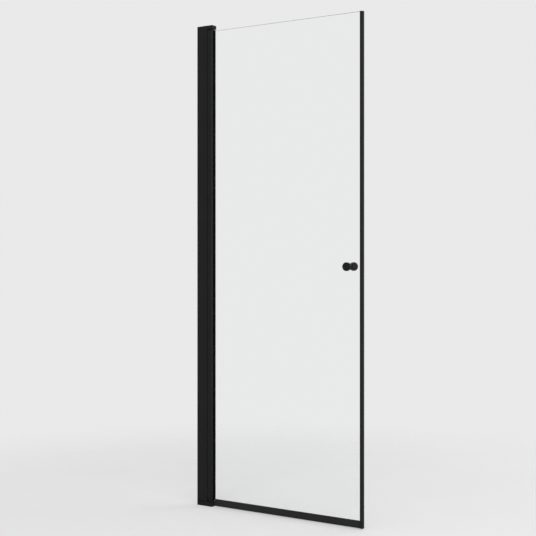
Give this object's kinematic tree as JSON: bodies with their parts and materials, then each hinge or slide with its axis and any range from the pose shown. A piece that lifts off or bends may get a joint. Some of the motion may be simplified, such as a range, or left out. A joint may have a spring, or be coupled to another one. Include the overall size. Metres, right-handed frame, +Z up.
{
  "type": "shower door",
  "caption": "Hinged glass shower door: a clear leaf in black trim that swings out from a telescoping wall upright, rises on a cam, and closes on a magnet strip.",
  "frame": {"origin": "where the pivot axis meets the floor, on the underside of the base block", "axes": "+X along the closed leaf from the wall to the free edge, +Y into the shower, +Z up"},
  "size_m": [0.78, 0.07, 2],
  "materials": {
    "black_profile": "matt black powder coat on aluminium",
    "clear_glass": "clear toughened glass with polished edges",
    "black_plastic": "fine-textured moulding",
    "black_rubber": "soft extruded seal",
    "black_knob": "satin black lacquer on turned metal",
    "steel": "stainless, turned",
    "white_acetal": "slippery natural moulding",
    "magnet": "rubber-bonded magnet"
  },
  "bodies": {
    "wall_channel": {"wall_profile": "black_profile"},
    "jamb_unit": {"hinge_jamb": "black_profile", "top_cap": "black_plastic", "base_block": "black_plastic", "top_cap_screws": "steel", "base_screws": "steel", "top_bush": "white_acetal", "bottom_bush": "white_acetal", "lower_lift_cam": "black_plastic", "clamp_screws": "steel", "clamp_washers": "steel", "clamp_nuts": "steel", "clamp_covers": "black_plastic", "top_pin_cover": "black_plastic"},
    "pivots": {"top_pivot_pin": "steel", "bottom_pivot_pin": "steel"},
    "door_leaf": {"hinge_post": "black_profile", "top_post_plug": "black_plastic", "bottom_post_plug": "black_plastic", "post_plug_screws": "steel", "upper_lift_cam": "black_plastic", "glass_pane": "clear_glass", "glass_gasket": "black_rubber", "bottom_rail": "black_profile", "rail_gasket": "black_rubber", "drip_seal": "black_rubber", "rail_end_caps": "black_plastic", "edge_strip": "black_plastic", "magnet_bar": "magnet", "strip_end_caps": "black_plastic", "front_knob": "black_knob", "rear_knob": "black_knob", "knob_stud": "steel", "knob_sleeve": "white_acetal", "knob_washers": "black_rubber", "knob_grub_screws": "steel"}
  },
  "joints": [
    {"name": "width_adjust", "type": "slide", "parent": "wall_channel", "child": "jamb_unit", "axis": [1, 0, 0], "range_m": [0, 0.015]},
    {"name": "door_swing", "type": "hinge", "parent": "jamb_unit", "child": "pivots", "pos_m": [0, 0, 0], "axis": [0, 0, -1], "range_deg": [0, 90]},
    {"name": "door_lift", "type": "slide", "parent": "pivots", "child": "door_leaf", "axis": [0, 0, 1], "range_m": [0, 0.004]}
  ],
  "couplings": [
    {"joint": "door_lift", "follows": "door_swing", "m_per_rad": 0.0025465}
  ]
}
